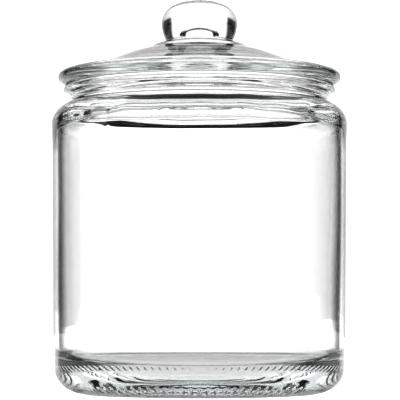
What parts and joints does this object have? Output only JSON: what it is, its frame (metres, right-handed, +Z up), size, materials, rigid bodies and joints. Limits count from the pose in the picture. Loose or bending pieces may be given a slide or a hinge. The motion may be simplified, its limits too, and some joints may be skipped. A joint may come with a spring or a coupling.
{
  "type": "lidded glass storage jar",
  "caption": "Round clear glass storage jar with a heavy knurled base, a rounded shoulder and a beaded mouth, and a domed lift-off glass lid with a hollow ball knob.",
  "frame": {"origin": "centre of the ring on which the jar stands, on the jar's axis", "axes": "+Z up along the jar's axis; the jar and lid are round, so X and Y are free"},
  "size_m": [0.1834, 0.1834, 0.245],
  "materials": {
    "clear_glass": "clear, fire polished"
  },
  "bodies": {
    "jar": {"jar": "clear_glass"},
    "lid": {"lid": "clear_glass"}
  },
  "joints": [
    {"name": "lid_lift", "type": "slide", "parent": "jar", "child": "lid", "axis": [0, 0, 1], "range_m": [0, 0.16]}
  ]
}
